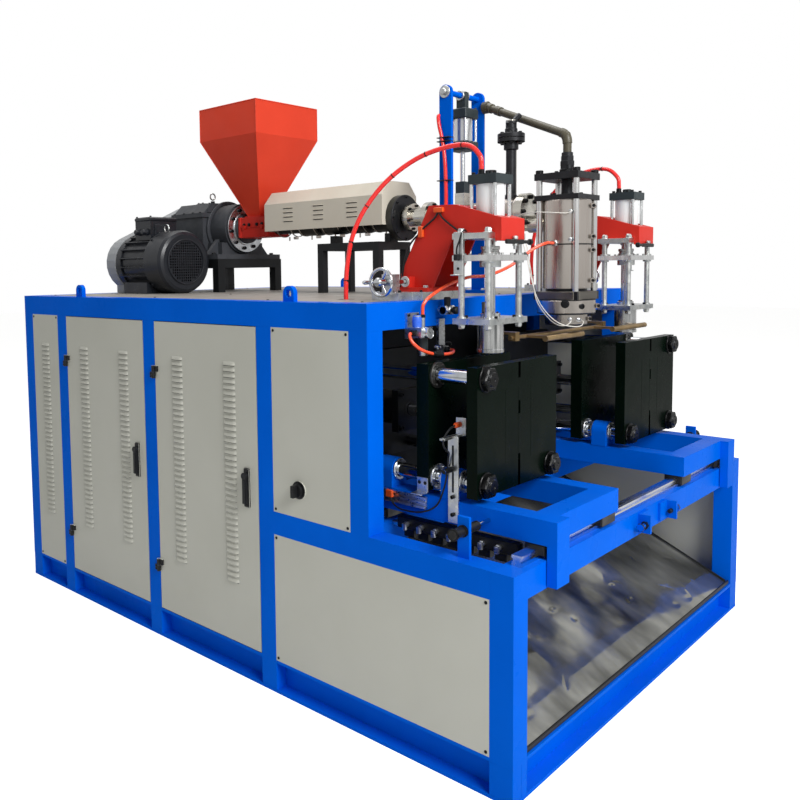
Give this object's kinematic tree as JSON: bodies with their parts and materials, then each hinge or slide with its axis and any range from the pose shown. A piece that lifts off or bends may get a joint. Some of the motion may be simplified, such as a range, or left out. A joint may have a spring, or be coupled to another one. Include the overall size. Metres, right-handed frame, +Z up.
{
  "type": "blow moulding machine",
  "caption": "Twin-station extrusion blow moulding machine with hopper, die head, shuttling clamps, blow pins and a blue and grey cabinet.",
  "frame": {"origin": "centre of the cabinet's footprint on the floor", "axes": "+Z up, -Y towards the bench and die head, -X towards the louvred doors"},
  "size_m": [2.066, 2.958, 2.485],
  "materials": {
    "blue_paint": "satin",
    "grey_paint": "textured",
    "deck_plate": "satin",
    "dark_sheet": "matt",
    "stainless": "polished",
    "black_plastic": "matt",
    "zinc_plate": "zinc plated",
    "black_paint": "semi gloss",
    "chrome": "polished",
    "red_paint": "satin",
    "orange_paint": "textured",
    "cast_grey": "painted",
    "motor_black": "painted",
    "cylinder_black": "anodised",
    "dark_steel": "oiled",
    "head_steel": "machined",
    "band_steel": "brushed",
    "pipe_paint": "satin",
    "brass_bar": "worn",
    "valve_metal": "satin",
    "red_hose": "gloss",
    "orange_hose": "gloss"
  },
  "bodies": {
    "machine": {"frame_posts": "blue_paint", "frame_side_rails": "blue_paint", "frame_cross_rails": "blue_paint", "lifting_eyes": "blue_paint", "deck": "deck_plate", "panels_left": "grey_paint", "panels_plain": "grey_paint", "inner_wall": "dark_sheet", "chute": "stainless", "guide_rails": "stainless", "stop_brackets": "blue_paint", "slide_bases": "zinc_plate", "stands": "black_paint", "gearbox": "cast_grey", "motor": "motor_black", "motor_cowl": "motor_black", "belt_guard": "grey_paint", "feed_block": "red_paint", "hopper": "orange_paint", "barrel": "dark_steel", "barrel_cover": "grey_paint", "neck": "stainless", "die_head": "head_steel", "heater_bands": "band_steel", "lift_post": "blue_paint", "lift_cylinder": "cylinder_black", "air_pipe": "pipe_paint", "cutter": "brass_bar", "air_unit": "valve_metal", "hoses_front": "orange_hose"},
    "rear_door": {"door_rear": "grey_paint"},
    "front_door": {"door_front": "grey_paint"},
    "rear_handle": {"handle_rear": "black_plastic"},
    "front_handle": {"handle_front": "black_plastic"},
    "switch": {"switch_knob": "black_plastic"},
    "left_carriage": {"tray_left": "blue_paint", "rail_blocks_left": "zinc_plate"},
    "right_carriage": {"tray_right": "blue_paint", "rail_blocks_right": "zinc_plate"},
    "left_clamp": {"platen_front_left": "black_paint", "tie_bars_left": "chrome", "clamp_unit_left": "black_paint"},
    "right_clamp": {"platen_front_right": "black_paint", "tie_bars_right": "chrome", "clamp_unit_right": "black_paint"},
    "left_platen": {"platen_mid_left": "black_paint"},
    "right_platen": {"platen_mid_right": "black_paint"},
    "left_station": {"arm_left": "red_paint", "blow_frame_left": "zinc_plate", "blow_cylinder_left": "cylinder_black", "hose_left": "red_hose"},
    "right_station": {"arm_right": "red_paint", "blow_frame_right": "zinc_plate", "blow_cylinder_right": "cylinder_black", "hose_right": "red_hose"},
    "left_pin": {"blow_pin_left": "zinc_plate"},
    "right_pin": {"blow_pin_right": "zinc_plate"},
    "left_wheel": {"handwheel_left": "chrome"},
    "right_wheel": {"handwheel_right": "chrome"},
    "fan": {"motor_fan": "black_plastic"}
  },
  "joints": [
    {"name": "left_shuttle", "type": "slide", "parent": "machine", "child": "left_carriage", "axis": [1, 0, 0], "range_m": [0, 0.565]},
    {"name": "right_shuttle", "type": "slide", "parent": "machine", "child": "right_carriage", "axis": [1, 0, 0], "range_m": [-0.565, 0]},
    {"name": "left_clamp_open", "type": "slide", "parent": "left_carriage", "child": "left_clamp", "axis": [0, -1, 0], "range_m": [0, 0.1]},
    {"name": "left_platen_open", "type": "slide", "parent": "left_carriage", "child": "left_platen", "axis": [0, 1, 0], "range_m": [0, 0.1]},
    {"name": "right_clamp_open", "type": "slide", "parent": "right_carriage", "child": "right_clamp", "axis": [0, -1, 0], "range_m": [0, 0.1]},
    {"name": "right_platen_open", "type": "slide", "parent": "right_carriage", "child": "right_platen", "axis": [0, 1, 0], "range_m": [0, 0.1]},
    {"name": "left_station_shift", "type": "slide", "parent": "machine", "child": "left_station", "axis": [1, 0, 0], "range_m": [-0.012, 0.012]},
    {"name": "right_station_shift", "type": "slide", "parent": "machine", "child": "right_station", "axis": [1, 0, 0], "range_m": [-0.012, 0.012]},
    {"name": "left_wheel_turn", "type": "hinge", "parent": "machine", "child": "left_wheel", "pos_m": [-0.815, -0.806, 1.567], "axis": [1, 0, 0], "range_deg": [-1080, 1080]},
    {"name": "right_wheel_turn", "type": "hinge", "parent": "machine", "child": "right_wheel", "pos_m": [0.815, -0.806, 1.567], "axis": [1, 0, 0], "range_deg": [-1080, 1080]},
    {"name": "left_pin_down", "type": "slide", "parent": "left_station", "child": "left_pin", "axis": [0, 0, -1], "range_m": [0, 0.15]},
    {"name": "right_pin_down", "type": "slide", "parent": "right_station", "child": "right_pin", "axis": [0, 0, -1], "range_m": [0, 0.15]},
    {"name": "rear_door_swing", "type": "hinge", "parent": "machine", "child": "rear_door", "pos_m": [-1.021, 1.0385, 0.7], "axis": [0, 0, -1], "range_deg": [0, 105]},
    {"name": "front_door_swing", "type": "hinge", "parent": "machine", "child": "front_door", "pos_m": [-1.021, 0.2995, 0.7], "axis": [0, 0, -1], "range_deg": [0, 105]},
    {"name": "rear_handle_turn", "type": "hinge", "parent": "rear_door", "child": "rear_handle", "pos_m": [-1.027, 0.445, 0.824], "axis": [1, 0, 0], "range_deg": [0, 90]},
    {"name": "front_handle_turn", "type": "hinge", "parent": "front_door", "child": "front_handle", "pos_m": [-1.027, -0.294, 0.824], "axis": [1, 0, 0], "range_deg": [0, 90]},
    {"name": "switch_turn", "type": "hinge", "parent": "machine", "child": "switch", "pos_m": [-1.042, -0.578, 0.816], "axis": [1, 0, 0], "range_deg": [0, 90]},
    {"name": "fan_turn", "type": "hinge", "parent": "machine", "child": "fan", "pos_m": [-0.412, 0.924, 1.666], "axis": [0, 1, 0], "continuous": true}
  ],
  "couplings": [
    {"joint": "left_platen_open", "follows": "left_clamp_open", "ratio": 1},
    {"joint": "right_platen_open", "follows": "right_clamp_open", "ratio": 1},
    {"joint": "left_wheel_turn", "follows": "left_station_shift", "rad_per_m": 1570.8},
    {"joint": "right_wheel_turn", "follows": "right_station_shift", "rad_per_m": 1570.8}
  ]
}
